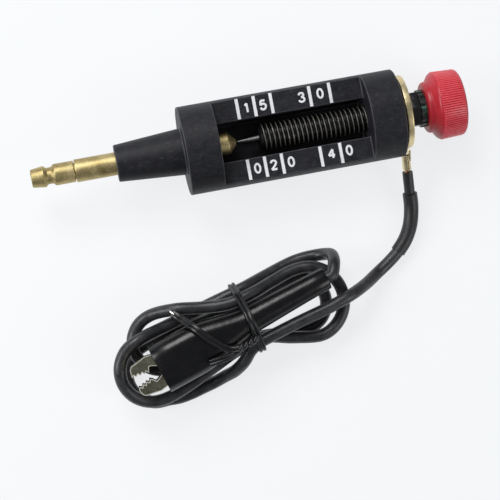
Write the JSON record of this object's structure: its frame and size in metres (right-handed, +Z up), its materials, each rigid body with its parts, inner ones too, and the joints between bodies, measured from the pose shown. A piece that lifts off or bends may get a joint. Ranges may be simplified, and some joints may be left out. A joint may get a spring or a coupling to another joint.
{
  "type": "adjustable spark plug tester",
  "caption": "Adjustable ignition spark tester: windowed black housing, plug terminal, needle gap set by a red knob, and a tied ground lead with a spring clip.",
  "frame": {"origin": "on the bench under the middle of the tester, from the terminal's tip to the knob's end", "axes": "+X along the screw towards the knob, +Z up out of the window's flat, +Y away from the lead"},
  "size_m": [0.1304, 0.0873, 0.0265],
  "materials": {
    "black_plastic": "fine moulded grain",
    "brass": "turned",
    "bare_steel": "bare",
    "black_steel": "black oxide",
    "plated_steel": "dark plated",
    "red_plastic": "semi-matte",
    "copper": "bare strands",
    "black_pvc": "satin",
    "soft_pvc": "soft gloss",
    "nickel": "nickel plated",
    "tie_plastic": "gloss"
  },
  "bodies": {
    "tester": {"housing": "black_plastic", "hv_rod": "brass", "terminal_nut": "brass", "threaded_bush": "brass", "ground_lug": "brass", "wire_strands": "copper", "lug_wire": "black_pvc", "splice_sleeve": "black_pvc", "lead_cord": "black_pvc", "cord_hank": "black_pvc", "clip_wire": "black_pvc", "clip_boot": "soft_pvc", "clip_fixed_jaw": "nickel", "clip_pin": "bare_steel", "clip_spring": "bare_steel", "twist_tie": "tie_plastic"},
    "needle": {"needle": "bare_steel"},
    "screw": {"adjusting_screw": "black_steel", "lock_nut": "black_steel", "lock_washer": "plated_steel", "knob": "red_plastic"},
    "jaw": {"clip_moving_jaw": "nickel"}
  },
  "joints": [
    {"name": "gap_feed", "type": "slide", "parent": "tester", "child": "needle", "axis": [1, 0, 0], "range_m": [0, 0.03]},
    {"name": "knob_turn", "type": "hinge", "parent": "needle", "child": "screw", "pos_m": [0, 0, 0.01325], "axis": [1, 0, 0], "range_deg": [0, 7660]},
    {"name": "jaw_open", "type": "hinge", "parent": "tester", "child": "jaw", "pos_m": [-0.03588, -0.0612, 0.0136], "axis": [0, 0, -1], "range_deg": [-19, 6], "stiffness_Nm_per_rad": 0.06, "deforming": ["clip_spring"]}
  ],
  "couplings": [
    {"joint": "knob_turn", "follows": "gap_feed", "rad_per_m": 4453}
  ]
}
